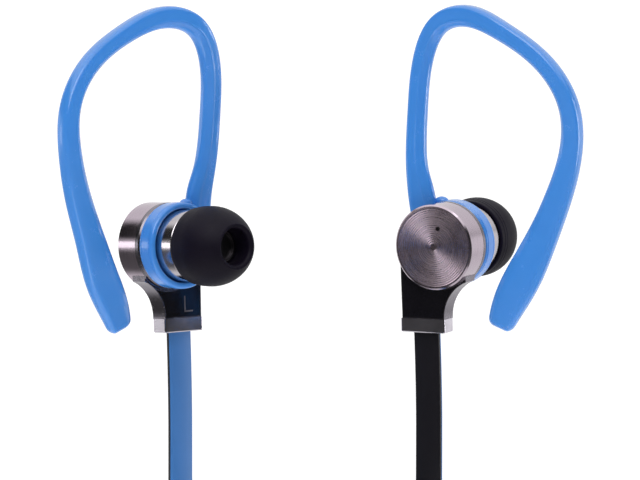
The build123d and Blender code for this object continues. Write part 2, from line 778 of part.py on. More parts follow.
ties = {}
for side, hand in (("left", -1), ("right", 1)):
    with BuildPart() as tie:
        with BuildSketch(Plane.XY.offset(HANK_TOP - HANK_RUN / 2 - TIE_HEIGHT / 2)):
            with Locations((HANK_X + hand * (BUNDLE_OUT + BUNDLE_IN) / 2, HANK_Y)):
                RectangleRounded(BUNDLE_W + 2 * TIE_WALL, BUNDLE_D + 2 * TIE_WALL, TIE_CORNER)
                Rectangle(BUNDLE_W, BUNDLE_D, mode=Mode.SUBTRACT)
        extrude(amount=TIE_HEIGHT)
    ties[side] = tie

# ============================================================================
# Y-splitter in the eye of the hank: two shells over a soldered joint
# ============================================================================

SPLIT_W = 15.0
SPLIT_T = 3.4
SPLIT_WALL = 0.8
SPLIT_CORNER = 1.6
SPLIT_EDGE = 0.4
SPLIT_MID = (HANK_Y, (SPLIT_TOP + SPLIT_BOTTOM) / 2)
EYE_W = SPLIT_W - 2 * SPLIT_WALL
EYE_H = SPLIT_H - 2 * SPLIT_WALL
JOINT_GAP = 0.1
JOINT_T = 0.6
JOINT_DROPS_X = 3.2     # solder drops, four wires across in two rows
JOINT_DROPS_Z = 4.0

splitter_shells = {}
for side, hand in (("left", -1), ("right", 1)):
    with BuildPart() as shell:
        with BuildSketch(Plane.YZ.offset(HANK_X)):
            with Locations(SPLIT_MID):
                RectangleRounded(SPLIT_W, SPLIT_H, SPLIT_CORNER)
        extrude(amount=hand * SPLIT_T / 2)
        outer_face = shell.faces().sort_by(Axis.X)[-1 if hand > 0 else 0]
        chamfer(outer_face.edges(), SPLIT_EDGE)
        with BuildSketch(Plane.YZ.offset(HANK_X)):
            with Locations(SPLIT_MID):
                Rectangle(EYE_W, EYE_H)
        extrude(amount=hand * (SPLIT_T / 2 - SPLIT_WALL), mode=Mode.SUBTRACT)
    splitter_shells[side] = shell

with BuildPart() as splitter_joint:
    with BuildSketch(Plane.YZ.offset(HANK_X - JOINT_T / 2)):
        with Locations(SPLIT_MID):
            Rectangle(EYE_W - 2 * JOINT_GAP, EYE_H - 2 * JOINT_GAP)
    extrude(amount=JOINT_T)
    with BuildSketch(Plane.YZ.offset(HANK_X + JOINT_T / 2)):
        with Locations(SPLIT_MID):
            with GridLocations(JOINT_DROPS_X, JOINT_DROPS_Z, 4, 2):
                Circle(0.7)
    extrude(amount=0.35)

# ============================================================================
# Straight plug, hanging below the hank
# ============================================================================

PLUG_AXIS = (TAIL_X, HANK_Y)
RELIEF_TOP_W = 5.6
RELIEF_TOP_T = 2.3
RELIEF_LOW_R = 3.0
MOULD_R = 3.9
BARREL_R = 3.6
RIB_COUNT = 5
NOTCH_H = 0.8
CORE_W = 5.0            # what is left of the sleeve inside each notch
CORE_T = 1.7
MOULD_EDGE = 0.7
GRIP_ROWS = 7
GRIP_PITCH = 1.4

with BuildPart() as plug_relief:
    with BuildSketch(Plane.XY.offset(RELIEF_TOP)):
        with Locations(PLUG_AXIS):
            RectangleRounded(RELIEF_TOP_T, RELIEF_TOP_W, 1.0)
    with BuildSketch(Plane.XY.offset(MOULD_TOP)):
        with Locations(PLUG_AXIS):
            Circle(RELIEF_LOW_R)
    loft()
    # notches that let the sleeve bend
    rib_pitch = (RELIEF_TOP - MOULD_TOP) / (RIB_COUNT + 1)
    for rib in range(RIB_COUNT):
        with BuildSketch(Plane.XY.offset(MOULD_TOP + (rib + 1) * rib_pitch - NOTCH_H / 2)):
            with Locations(PLUG_AXIS):
                Circle(MOULD_R)
                Rectangle(CORE_T, CORE_W, mode=Mode.SUBTRACT)
        extrude(amount=NOTCH_H, mode=Mode.SUBTRACT)

with BuildPart() as plug_overmould:
    with BuildSketch(Plane.XZ.offset(-HANK_Y)):
        with BuildLine():
            Polyline(
                (TAIL_X, MOULD_TOP),
                (TAIL_X + MOULD_R - MOULD_EDGE, MOULD_TOP),
                (TAIL_X + MOULD_R, MOULD_TOP - MOULD_EDGE),
                (TAIL_X + MOULD_R, MOULD_BOTTOM + 0.4),
                (TAIL_X + MOULD_R - 0.4, MOULD_BOTTOM),
                (TAIL_X, MOULD_BOTTOM),
                close=True,
            )
        make_face()
    revolve(axis=Axis((TAIL_X, HANK_Y, 0), (0, 0, 1)))
    # grip flats, front and back of the handle
    for hand in (-1, 1):
        with BuildSketch(Plane.XZ.offset(-HANK_Y + hand * (MOULD_R - 0.25))):
            with Locations((TAIL_X, (MOULD_TOP + MOULD_BOTTOM) / 2)):
                with GridLocations(0, GRIP_PITCH, 1, GRIP_ROWS):
                    RectangleRounded(3.2, 0.6, 0.25)
        extrude(amount=hand * 1.0, mode=Mode.SUBTRACT)

with BuildPart() as plug_barrel:
    with BuildSketch(Plane.XY.offset(MOULD_BOTTOM)):
        with Locations(PLUG_AXIS):
            Circle(BARREL_R)
    extrude(amount=JACK_FACE - MOULD_BOTTOM)
    chamfer(plug_barrel.edges().group_by(Axis.Z)[0], 0.3)

# Jack: (name, length) of each band from the shoulder down to the tip
SLEEVE_LENGTH = 8.1
BAND_GAP = 0.45
RING_LENGTH = 1.55
TIP_LENGTH = JACK_LENGTH - SLEEVE_LENGTH - RING_LENGTH - 2 * BAND_GAP
SLEEVE_LOW = JACK_FACE - SLEEVE_LENGTH
RING_HIGH = SLEEVE_LOW - BAND_GAP
RING_LOW = RING_HIGH - RING_LENGTH
TIP_HIGH = RING_LOW - BAND_GAP
WAIST_R = 1.1           # groove of the tip that the socket's spring drops into
BULB_R = 1.6
NOSE_R = 0.5

plug_bands = {}
for band, high, low in (("plug_sleeve", JACK_FACE, SLEEVE_LOW), ("plug_ring", RING_HIGH, RING_LOW)):
    with BuildPart() as plug_band:
        with BuildSketch(Plane.XY.offset(low)):
            with Locations(PLUG_AXIS):
                Circle(JACK_R)
        extrude(amount=high - low)
    plug_bands[band] = plug_band

with BuildPart() as plug_tip:
    with BuildSketch(Plane.XZ.offset(-HANK_Y)):
        with BuildLine():
            Polyline(
                (TAIL_X, TIP_HIGH),
                (TAIL_X + JACK_R, TIP_HIGH),
                (TAIL_X + JACK_R - 0.12, TIP_HIGH - 0.35),
                (TAIL_X + WAIST_R, TIP_HIGH - 1.15),
                (TAIL_X + WAIST_R, TIP_HIGH - 1.4),
                (TAIL_X + BULB_R, TIP_HIGH - 2.1),
                (TAIL_X + WAIST_R, TIP_HIGH - TIP_LENGTH + 0.35),
                (TAIL_X + NOSE_R, TIP_HIGH - TIP_LENGTH),
                (TAIL_X, TIP_HIGH - TIP_LENGTH),
                close=True,
            )
        make_face()
    revolve(axis=Axis((TAIL_X, HANK_Y, 0), (0, 0, 1)))

with BuildPart() as plug_insulators:
    for low in (RING_HIGH, TIP_HIGH):
        with BuildSketch(Plane.XY.offset(low)):
            with Locations(PLUG_AXIS):
                Circle(JACK_R)
        extrude(amount=BAND_GAP)

# ============================================================================
# Cable, hank, splitter and plug: written in the part's own frame
# ============================================================================

CABLE_PIECES = {
    "left_cable": cables["left"],
    "right_cable": cables["right"],
    "left_hank": hanks["left"],
    "right_hank": hanks["right"],
    "trunk_hank": trunk_hank,
    "trunk_tail": trunk_tail,
    "left_tie": ties["left"],
    "right_tie": ties["right"],
    "splitter_cover": splitter_shells["left"],
    "splitter_base": splitter_shells["right"],
    "splitter_joint": splitter_joint,
    "plug_relief": plug_relief,
    "plug_overmould": plug_overmould,
    "plug_barrel": plug_barrel,
    "plug_sleeve": plug_bands["plug_sleeve"],
    "plug_ring": plug_bands["plug_ring"],
    "plug_tip": plug_tip,
    "plug_insulators": plug_insulators,
}

for piece_name, piece in CABLE_PIECES.items():
    piece.part.label = piece_name
    export_step(piece.part, f"parts/{piece_name}.step")
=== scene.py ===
"""Ear-hook earphones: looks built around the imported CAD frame.

Blender units are metres. Sizes below are written in millimetres and multiplied by MM.
Each earpiece has its own frame, read from its joint: x and y lie in the disc, z runs along the nozzle.
"""

import json
import math

import bmesh
import bpy
import numpy as np
from mathutils import Matrix, Vector


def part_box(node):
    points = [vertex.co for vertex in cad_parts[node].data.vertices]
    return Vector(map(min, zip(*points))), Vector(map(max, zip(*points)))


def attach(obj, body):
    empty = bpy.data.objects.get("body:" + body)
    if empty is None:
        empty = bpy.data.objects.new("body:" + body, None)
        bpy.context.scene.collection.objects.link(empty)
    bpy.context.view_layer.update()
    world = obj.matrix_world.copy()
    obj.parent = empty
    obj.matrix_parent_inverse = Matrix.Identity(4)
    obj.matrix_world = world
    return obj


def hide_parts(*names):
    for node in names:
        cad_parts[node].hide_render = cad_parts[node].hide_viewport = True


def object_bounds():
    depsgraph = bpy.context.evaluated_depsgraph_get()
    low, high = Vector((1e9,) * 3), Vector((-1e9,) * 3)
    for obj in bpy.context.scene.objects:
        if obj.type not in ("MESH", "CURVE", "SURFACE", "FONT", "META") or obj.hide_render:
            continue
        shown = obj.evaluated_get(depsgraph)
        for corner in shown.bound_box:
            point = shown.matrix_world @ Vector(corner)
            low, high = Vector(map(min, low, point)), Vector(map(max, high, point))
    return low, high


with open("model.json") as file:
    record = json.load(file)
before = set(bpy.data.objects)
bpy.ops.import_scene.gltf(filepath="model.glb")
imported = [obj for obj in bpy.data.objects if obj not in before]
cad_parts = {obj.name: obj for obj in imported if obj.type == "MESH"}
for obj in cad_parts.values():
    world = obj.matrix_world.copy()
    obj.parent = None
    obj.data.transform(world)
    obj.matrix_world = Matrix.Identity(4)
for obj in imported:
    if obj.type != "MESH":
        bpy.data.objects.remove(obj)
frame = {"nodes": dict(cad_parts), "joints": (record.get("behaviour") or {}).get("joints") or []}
CAD_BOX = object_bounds()
MM = 0.001
SIDES = ("left", "right")

# ---------------------------------------------------------------------------
# Frames of the two earpieces
# ---------------------------------------------------------------------------


class Ear:
    """Local frame of one earpiece: centre on the outer disc face, x across, y up, z along the nozzle."""

    def __init__(self, side):
        joint = next(j for j in frame["joints"] if j["name"] == f"{side}_hook_swivel")
        self.side = side
        self.centre = Vector(joint["pos_m"])
        self.z = Vector(joint["axis"]).normalized()
        self.x = Vector((-self.z.y, self.z.x, 0)).normalized()
        self.y = self.z.cross(self.x)

    def point(self, x, y, z):
        """World point of local millimetres."""
        return self.centre + (self.x * x + self.y * y + self.z * z) * MM


EARS = {side: Ear(side) for side in SIDES}

# ---------------------------------------------------------------------------
# Camera
# ---------------------------------------------------------------------------

CAMERA_TARGET = Vector((15.17, 10.6, 0.18)) * MM
CAMERA_DISTANCE = 0.9
CAMERA_ELEVATION = math.radians(4.5)
CAMERA_LENS = 319

camera_data = bpy.data.cameras.new("camera")
camera_data.lens = CAMERA_LENS
camera_data.sensor_width = 36
camera_data.clip_start = 0.01
camera = bpy.data.objects.new("camera", camera_data)
bpy.context.scene.collection.objects.link(camera)
camera_back = Vector((0, -math.cos(CAMERA_ELEVATION), math.sin(CAMERA_ELEVATION)))
camera.location = CAMERA_TARGET + CAMERA_DISTANCE * camera_back
camera.rotation_mode = "QUATERNION"
camera.rotation_quaternion = (-camera_back).to_track_quat("-Z", "Y")
bpy.context.scene.camera = camera

# ---------------------------------------------------------------------------
# Mesh helpers
# ---------------------------------------------------------------------------


def shade_smooth(mesh, angle):
    """Smooth shading, with edges sharper than the angle in degrees kept crisp."""
    mesh.shade_smooth()
    mesh.set_sharp_from_angle(angle=math.radians(angle))


def new_object(name, points, faces, loops=None, materials=(), face_slots=None):
    """Mesh object from points, faces, an optional UV pair for each loop, and a material for each face."""
    mesh = bpy.data.meshes.new(name)
    mesh.from_pydata([tuple(p) for p in points], [], faces)
    if loops is not None:
        layer = mesh.uv_layers.new(name="UVMap")
        layer.data.foreach_set("uv", np.asarray(loops, float).ravel())
    for material in materials:
        mesh.materials.append(material)
    if face_slots is not None:
        mesh.polygons.foreach_set("material_index", face_slots)
    mesh.update()
    piece = bpy.data.objects.new(name, mesh)
    bpy.context.scene.collection.objects.link(piece)
    return piece


def close_normals(piece):
    """Turns every face outwards."""
    shape = bmesh.new()
    shape.from_mesh(piece.data)
    bmesh.ops.recalc_face_normals(shape, faces=shape.faces)
    shape.to_mesh(piece.data)
    shape.free()


def applied(piece):
    """Bakes the piece's modifiers into its mesh."""
    graph = bpy.context.evaluated_depsgraph_get()
    mesh = bpy.data.meshes.new_from_object(piece.evaluated_get(graph))
    old = piece.data
    piece.modifiers.clear()
    piece.data = mesh
    mesh.name = piece.name
    bpy.data.meshes.remove(old)
    return piece


def joined(base, *others):
    """Boolean union of closed pieces, which leaves one watertight mesh in base."""
    for other in others:
        union = base.modifiers.new("join", "BOOLEAN")
        union.operation = "UNION"
        union.solver = "EXACT"
        union.object = other
        applied(base)
        bpy.data.objects.remove(other)
    return base


def arc_through(start, middle, end, count):
    """Points of the arc from start to end through middle, without the end point."""
    (ax, ay), (bx, by), (cx, cy) = start, middle, end
    d = 2 * (ax * (by - cy) + bx * (cy - ay) + cx * (ay - by))
    ux = ((ax**2 + ay**2) * (by - cy) + (bx**2 + by**2) * (cy - ay) + (cx**2 + cy**2) * (ay - by)) / d
    uy = ((ax**2 + ay**2) * (cx - bx) + (bx**2 + by**2) * (ax - cx) + (cx**2 + cy**2) * (bx - ax)) / d
    first, mid, last = (math.atan2(y - uy, x - ux) for x, y in (start, middle, end))
    turn = (last - first) % math.tau
    if (mid - first) % math.tau > turn:
        turn -= math.tau
    radius = math.hypot(ax - ux, ay - uy)
    return [
        (ux + radius * math.cos(first + turn * i / count), uy + radius * math.sin(first + turn * i / count))
        for i in range(count)
    ]


def revolved(name, ear, profile, segments, smooth_angle):
    """Closed ring from a closed outline of (radius, height) in millimetres, spun about the nozzle."""
    points, faces = [], []
    rows = len(profile)
    for i in range(segments):
        angle = math.tau * i / segments
        for radius, height in profile:
            points.append(ear.point(radius * math.cos(angle), radius * math.sin(angle), height))
    for i in range(segments):
        for j in range(rows):
            a, b = i * rows + j, i * rows + (j + 1) % rows
            c, d = (i + 1) % segments * rows + (j + 1) % rows, (i + 1) % segments * rows + j
            faces.append((a, b, c, d))
    piece = new_object(name, points, faces)
    close_normals(piece)
    shade_smooth(piece.data, smooth_angle)
    return piece


def cubic_through(rows, per_span):
    """Natural cubic spline through rows of numbers, the first three of them a point."""
    rows = np.array(rows, float)
    count = len(rows)
    steps = np.linalg.norm(np.diff(rows[:, :3], axis=0), axis=1)
    system = np.eye(count)
    right = np.zeros_like(rows)
    for i in range(1, count - 1):
        before, after = steps[i - 1], steps[i]
        system[i, i - 1:i + 2] = before, 2 * (before + after), after
        right[i] = 6 * ((rows[i + 1] - rows[i]) / after - (rows[i] - rows[i - 1]) / before)
    bend = np.linalg.solve(system, right)
    out = []
    for i in range(count - 1):
        for t in np.arange(per_span) * steps[i] / per_span:
            u, step = steps[i] - t, steps[i]
            out.append(
                (bend[i] * u**3 + bend[i + 1] * t**3) / (6 * step)
                + (rows[i] / step - bend[i] * step / 6) * u
                + (rows[i + 1] / step - bend[i + 1] * step / 6) * t
            )
    out.append(rows[-1])
    return np.array(out)


# ---------------------------------------------------------------------------
# Materials
# ---------------------------------------------------------------------------


class Shade:
    """Short hand for building one node material."""

    def __init__(self, name):
        self.material = bpy.data.materials.new(name)
        self.material.use_nodes = True
        self.tree = self.material.node_tree
        self.bsdf = self.tree.nodes["Principled BSDF"]
        self.coords = self.node("ShaderNodeTexCoord")

    def node(self, kind, **settings):
        made = self.tree.nodes.new(kind)
        for key, value in settings.items():
            setattr(made, key, value)
        return made

    def link(self, source, target):
        self.tree.links.new(source, target)

    def set(self, **values):
        """Sets numbers and colours on the shader's own sockets."""
        for key, value in values.items():
            socket = self.bsdf.inputs[key.replace("_", " ")]
            socket.default_value = (*value, 1) if hasattr(value, "__len__") and len(value) == 3 else value
        return self

    def math(self, operation, first, second=None):
        made = self.node("ShaderNodeMath", operation=operation)
        for socket, value in zip(made.inputs, (first, second)):
            if value is None:
                continue
            if isinstance(value, (int, float)):
                socket.default_value = value
            else:
                self.link(value, socket)
        return made.outputs[0]

    def vector(self, operation, first, second=None):
        made = self.node("ShaderNodeVectorMath", operation=operation)
        for socket, value in zip(made.inputs, (first, second)):
            if value is None:
                continue
            if isinstance(value, (tuple, Vector)):
                socket.default_value = value
            else:
                self.link(value, socket)
        return made.outputs["Value" if operation == "DOT_PRODUCT" else "Vector"]

    def noise(self, vector, scale, detail=3.0, roughness=0.55):
        made = self.node("ShaderNodeTexNoise")
        made.inputs["Scale"].default_value = scale
        made.inputs["Detail"].default_value = detail
        made.inputs["Roughness"].default_value = roughness
        self.link(vector, made.inputs["Vector"])
        return made.outputs["Fac"]

    def spread(self, value, low, high, start=0.3, end=0.7):
        """Maps a noise value to a range."""
        made = self.node("ShaderNodeMapRange")
        for key, number in (("From Min", start), ("From Max", end), ("To Min", low), ("To Max", high)):
            made.inputs[key].default_value = number
        self.link(value, made.inputs["Value"])
        return made.outputs["Result"]

    def blend(self, factor, first, second):
        """Colour between two colours."""
        made = self.node("ShaderNodeMix", data_type="RGBA")
        for socket, value in ((made.inputs[6], first), (made.inputs[7], second)):
            if isinstance(value, tuple):
                socket.default_value = (*value, 1)
            else:
                self.link(value, socket)
        self.link(factor, made.inputs["Factor"])
        return made.outputs[2]

    def bump(self, height, distance):
        """Adds fine relief, its depth in metres, on top of any relief set before."""
        made = self.node("ShaderNodeBump")
        made.inputs["Distance"].default_value = distance
        made.inputs["Strength"].default_value = 1.0
        self.link(height, made.inputs["Height"])
        previous = self.bsdf.inputs["Normal"].links
        if previous:
            self.link(previous[0].from_socket, made.inputs["Normal"])
        self.link(made.outputs["Normal"], self.bsdf.inputs["Normal"])

    def colour(self, socket):
        self.link(socket, self.bsdf.inputs["Base Color"])

    def rough(self, socket):
        self.link(socket, self.bsdf.inputs["Roughness"])

    def around(self, ear):
        """Radius, height and angle about the nozzle axis, and the tangent that runs round it."""
        from_centre = self.vector("SUBTRACT", self.coords.outputs["Object"], ear.centre)
        x = self.vector("DOT_PRODUCT", from_centre, ear.x)
        y = self.vector("DOT_PRODUCT", from_centre, ear.y)
        height = self.vector("DOT_PRODUCT", from_centre, ear.z)
        radius = self.math("SQRT", self.math("ADD", self.math("MULTIPLY", x, x), self.math("MULTIPLY", y, y)))
        angle = self.math("ARCTAN2", y, x)
        tangent = self.vector("NORMALIZE", self.vector("CROSS_PRODUCT", ear.z, from_centre))
        return radius, height, angle, tangent

    def combined(self, x, y, z):
        made = self.node("ShaderNodeCombineXYZ")
        for socket, value in zip(made.inputs, (x, y, z)):
            if isinstance(value, (int, float)):
                socket.default_value = value
            else:
                self.link(value, socket)
        return made.outputs["Vector"]


def turned_metal(name, ear, light, dark, rough, pitch, brushing, anisotropy):
    """Lathe-turned metal: fine rings round the axis, brighter and darker from ring to ring."""
    s = Shade(name)
    s.set(Metallic=1.0, Anisotropic=anisotropy)
    radius, height, angle, tangent = s.around(ear)
    s.link(tangent, s.bsdf.inputs["Tangent"])
    lines = s.noise(
        s.combined(
            s.math("MULTIPLY", radius, 1 / pitch),
            s.math("MULTIPLY", height, 1 / pitch),
            s.math("MULTIPLY", angle, 0.8),
        ),
        1.0,
        detail=4.0,
        roughness=0.7,
    )
    smudge = s.noise(s.coords.outputs["Object"], 420.0, detail=4.0)
    s.colour(s.blend(s.spread(lines, 0, 1), dark, light))
    s.rough(s.math("ADD", s.spread(lines, rough * 0.8, rough * 1.25), s.spread(smudge, 0.0, 0.07, 0.4, 0.75)))
    s.bump(lines, brushing)
    return s.material


def polished_metal(name, colour, rough, grain=0.000004, scale=2600.0, anisotropy=0.0):
    """Plated or polished metal with faint handling marks."""
    s = Shade(name)
    s.set(Metallic=1.0, Anisotropic=anisotropy)
    where = s.coords.outputs["Object"]
    fine = s.noise(where, scale, detail=5.0, roughness=0.65)
    smudge = s.noise(where, 350.0, detail=3.0)
    s.colour(s.blend(s.spread(smudge, 0, 1), tuple(c * 0.86 for c in colour), colour))
    s.rough(s.math("ADD", s.spread(fine, rough * 0.75, rough * 1.3), s.spread(smudge, 0.0, 0.06)))
    s.bump(fine, grain)
    return s.material


def moulded(name, colour, rough, grain, scale=3200.0, mottling=0.12, specular=0.5, coat=0.0, subsurface=0.0):
    """Moulded plastic, rubber or silicone: fine grain, faint mottling and a slightly uneven shine."""
    s = Shade(name)
    s.set(Specular_IOR_Level=specular, Coat_Weight=coat, Coat_Roughness=0.08)
    if subsurface:
        s.set(Subsurface_Weight=subsurface, Subsurface_Scale=0.001)
        s.bsdf.inputs["Subsurface Radius"].default_value = (0.6, 0.9, 1.4)
    where = s.coords.outputs["Object"]
    fine = s.noise(where, scale, detail=6.0, roughness=0.7)
    broad = s.noise(where, 260.0, detail=3.0)
    shade = tuple(c * (1 - mottling) for c in colour)
    s.colour(s.blend(s.spread(broad, 0, 1, 0.35, 0.65), shade, colour))
    s.rough(s.math("ADD", s.spread(fine, rough * 0.88, rough * 1.12), s.spread(broad, -0.04, 0.04)))
    s.bump(fine, grain)
    return s.material


def flat_lead(name, colour, rough):
    """Extruded cable jacket: long faint draw lines, a soft sheen and a touch of dust."""
    s = Shade(name)
    s.set(Specular_IOR_Level=0.45, Coat_Weight=0.05, Coat_Roughness=0.25)
    split = s.node("ShaderNodeSeparateXYZ")
    s.link(s.coords.outputs["UV"], split.inputs[0])
    along, across = split.outputs["X"], split.outputs["Y"]
    lines = s.noise(s.combined(s.math("MULTIPLY", along, 12.0), s.math("MULTIPLY", across, 6500.0), 0.0), 1.0)
    fine = s.noise(s.coords.outputs["Object"], 4200.0, detail=5.0, roughness=0.7)
    broad = s.noise(s.coords.outputs["Object"], 120.0)
    s.colour(s.blend(s.spread(broad, 0, 1), tuple(c * 0.88 for c in colour), colour))
    s.rough(s.math("ADD", s.spread(lines, rough * 0.85, rough * 1.15), s.spread(fine, -0.04, 0.04)))
    s.bump(lines, 0.000012)
    s.bump(fine, 0.000008)
    return s.material


def woven(name, colour, pitch):
    """Woven strap: over-and-under yarns from two crossed waves, with fibre fuzz; the weave's low cells get painted
    shade between the yarns.
    """
    s = Shade(name)
    s.set(Sheen_Weight=0.35, Sheen_Roughness=0.5, Specular_IOR_Level=0.2)
    split = s.node("ShaderNodeSeparateXYZ")
    s.link(s.coords.outputs["UV"], split.inputs[0])
    turn = math.tau / pitch
    warp = s.math("SINE", s.math("MULTIPLY", split.outputs["X"], turn))
    weft = s.math("SINE", s.math("MULTIPLY", split.outputs["Y"], turn))
    yarn = s.math("MULTIPLY", warp, weft)
    fuzz = s.noise(s.coords.outputs["Object"], 5200.0, detail=6.0, roughness=0.75)
    # colour halved where the yarn relief is low: painted shade in the hollows between the yarns, over the real weave
    # pattern
    s.colour(s.blend(s.spread(yarn, 0, 1, -1, 1), tuple(c * 0.5 for c in colour), colour))
    s.rough(s.spread(fuzz, 0.75, 0.95))
    s.bump(yarn, 0.00006)
    s.bump(fuzz, 0.00003)
    return s.material


BLUE = (0.056, 0.27, 0.76)
CABLE_BLUE = (0.045, 0.19, 0.52)
BLACK = (0.009, 0.008, 0.014)

hook_blue = moulded("hook_blue", BLUE, 0.24, 0.000005, mottling=0.025, coat=0.7, subsurface=0.12)
tip_black = moulded("tip_black", (0.0065, 0.0040, 0.0125), 0.55, 0.000006, specular=0.16)
soft_black = moulded("soft_black", BLACK, 0.5, 0.000012)
gloss_black = moulded("gloss_black", (0.004, 0.0035, 0.006), 0.12, 0.0000015, coat=0.3, mottling=0.3)
splitter_black = moulded("splitter_black", BLACK, 0.36, 0.000015, mottling=0.2)
driver_plastic = moulded("driver_plastic", (0.03, 0.03, 0.033), 0.45, 0.00001)
film = moulded("film", (0.52, 0.36, 0.13), 0.22, 0.000002, coat=0.3)
board = moulded("board", (0.02, 0.16, 0.06), 0.4, 0.00001)
damper = moulded("damper", (0.05, 0.05, 0.052), 0.9, 0.00006)
mark_paint = moulded("mark_paint", (0.085, 0.08, 0.105), 0.5, 0.000008)
cable_blue = flat_lead("cable_blue", CABLE_BLUE, 0.42)
cable_black = flat_lead("cable_black", (0.007, 0.006, 0.011), 0.42)
strap_black = woven("strap_black", (0.035, 0.034, 0.04), 0.55 * MM)
steel = polished_metal("steel", (0.56, 0.56, 0.57), 0.22)
mesh_steel = polished_metal("mesh_steel", (0.12, 0.115, 0.125), 0.4)
magnet = polished_metal("magnet", (0.66, 0.65, 0.62), 0.16)
copper = polished_metal("copper", (0.72, 0.31, 0.14), 0.28)
plug_metal = polished_metal("plug_metal", (0.80, 0.79, 0.77), 0.12)
barrel_metal = polished_metal("barrel_metal", (0.42, 0.39, 0.41), 0.24, anisotropy=0.4)
stem_grey = polished_metal("stem_grey", (0.27, 0.25, 0.285), 0.2, scale=1800.0)
collar_metal = polished_metal("collar_metal", (0.72, 0.68, 0.75), 0.14)

EAR_FINISH = {
    "vent_damper": damper,
    "nozzle_mesh": mesh_steel,
    "driver_frame": driver_plastic,
    "driver_yoke": steel,
    "driver_magnet": magnet,
    "driver_top_plate": steel,
    "voice_coil": copper,
    "diaphragm": film,
    "terminal_board": board,
    "stem_frame": stem_grey,
    "stem_outer_plate": gloss_black,
    "stem_inner_plate": gloss_black,
    "stem_collar": collar_metal,
    "cable_crimp": steel,
    "cable_grommet": soft_black,
    "lead_wires": copper,
}
CABLE_FINISH = {
    "splitter_cover": splitter_black,
    "splitter_base": splitter_black,
    "splitter_joint": board,
    "plug_relief": soft_black,
    "plug_overmould": soft_black,
    "plug_barrel": barrel_metal,
    "plug_sleeve": plug_metal,
    "plug_ring": plug_metal,
    "plug_tip": plug_metal,
    "plug_insulators": soft_black,
}


def repaint(node_name, material):
    """Gives a CAD node its material and leaves its mesh alone."""
    node = frame["nodes"][node_name]
    if not node.material_slots:
        node.data.materials.append(material)
    for slot in node.material_slots:
        slot.material = material


# Turned metals: node, then light and dark colour, roughness, ring pitch, relief and anisotropy
TURNED = {
    "puck": ("puck_shell", (0.64, 0.55, 0.62), (0.46, 0.38, 0.45), 0.13, 0.07 * MM, 0.000002, 0.4),
    "face": ("face_cap", (0.66, 0.53, 0.60), (0.50, 0.39, 0.455), 0.25, 0.1 * MM, 0.0000014, 0.55),
    "neck": ("nozzle_housing", (0.66, 0.62, 0.65), (0.5, 0.46, 0.49), 0.12, 0.09 * MM, 0.000002, 0.4),
}

for side, ear in EARS.items():
    for part, (node_name, *finish) in TURNED.items():
        repaint(f"{side}_{node_name}", turned_metal(f"{side}_{part}_metal", ear, *finish))
    for piece_name, material in EAR_FINISH.items():
        repaint(f"{side}_{piece_name}", material)
for piece_name, material in CABLE_FINISH.items():
    repaint(piece_name, material)

# ---------------------------------------------------------------------------
# Flat cables: given routes, then a hank wound by a loop
# ---------------------------------------------------------------------------

LEFT_ROUTE = [(-7.41, 12.58, -13.16), (-7.1, 12.2, -22.6), (-7.1, 12.0, -38.0),
              (-7.1, 7.9, -53.0), (-7.1, 7.9, -62.0)]
RIGHT_ROUTE = [(32.19, 12.35, -13.16), (32.58, 12.8, -22.6), (32.58, 13.0, -38.0),
               (32.58, 17.1, -53.0), (32.58, 17.1, -62.0)]
CABLE_W = 4.4
CABLE_T = 1.1
HANK_X = 12.74
HANK_Y = 12.5
HANK_TOP = -74.0
HANK_RUN = 70.0
HANK_LAYER = 4.6
BRANCH_X = 19.84
TURN_PITCH = 1.6
BRANCH_STEP = TURN_PITCH / 2
TRUNK_IN = 13.5
TRUNK_OUT = 18.3
SPLIT_TOP = -104.0
SPLIT_BOTTOM = -117.0
RELIEF_TOP = -170.0
TRUNK_RUNS = 7
TAIL_STRAIGHT = 8.0
SPLIT_OVERLAP = 0.3     # how far the branches' ends reach into the splitter
BEND_POINTS = 6
LEAD_POINTS = 3
RUN_POINTS = 3


def bend_points(centre_x, centre_z, radius, start, turn, count, y):
    """Corners of the polygon round an arc: a spline of order 3 touches each of its sides at the middle."""
    step = turn / count
    reach = radius / math.cos(step / 2)
    return [
        (
            centre_x + reach * math.cos(start + (i + 0.5) * step),
            y,
            centre_z + reach * math.sin(start + (i + 0.5) * step),
        )
        for i in range(count)
    ]


def lead_points(from_x, from_z, to_x, to_z, y):
    """S of two equal arcs, from an upright run down to another one."""
    drop = from_z - to_z
    half = math.atan(abs(to_x - from_x) / drop)
    radius = drop / (2 * math.sin(2 * half))
    hand = math.copysign(1, to_x - from_x)
    start = math.pi if hand > 0 else 0.0
    upper = bend_points(from_x + hand * radius, from_z, radius, start, hand * 2 * half, LEAD_POINTS, y)
    lower_start = start + math.pi + hand * 2 * half
    lower = bend_points(to_x - hand * radius, to_z, radius, lower_start, -hand * 2 * half, LEAD_POINTS, y)
    return upper + lower


def run_points(x, from_z, to_z, y):
    """Points along a straight run, its ends left out."""
    return [(x, y, from_z + (to_z - from_z) * i / (RUN_POINTS + 1)) for i in range(1, RUN_POINTS + 1)]


def wound(offsets, y, first_bend_low, hand=1):
    """Half turns through a list of run offsets; runs and bends take turns at the bottom and the top."""
    points = []
    low = first_bend_low
    for here, there in zip(offsets, offsets[1:]):
        middle = HANK_X + hand * (here + there) / 2
        radius = abs(there - here) / 2
        level = HANK_TOP - HANK_RUN if low else HANK_TOP
        start = math.pi if hand * here < 0 else 0.0
        sweep = math.pi if (hand * here < 0) == low else -math.pi
        points += bend_points(middle, level, radius, start, sweep, BEND_POINTS, y)
        next_level = HANK_TOP if low else HANK_TOP - HANK_RUN
        points += run_points(HANK_X + hand * there, level, next_level, y)
        low = not low
    return points


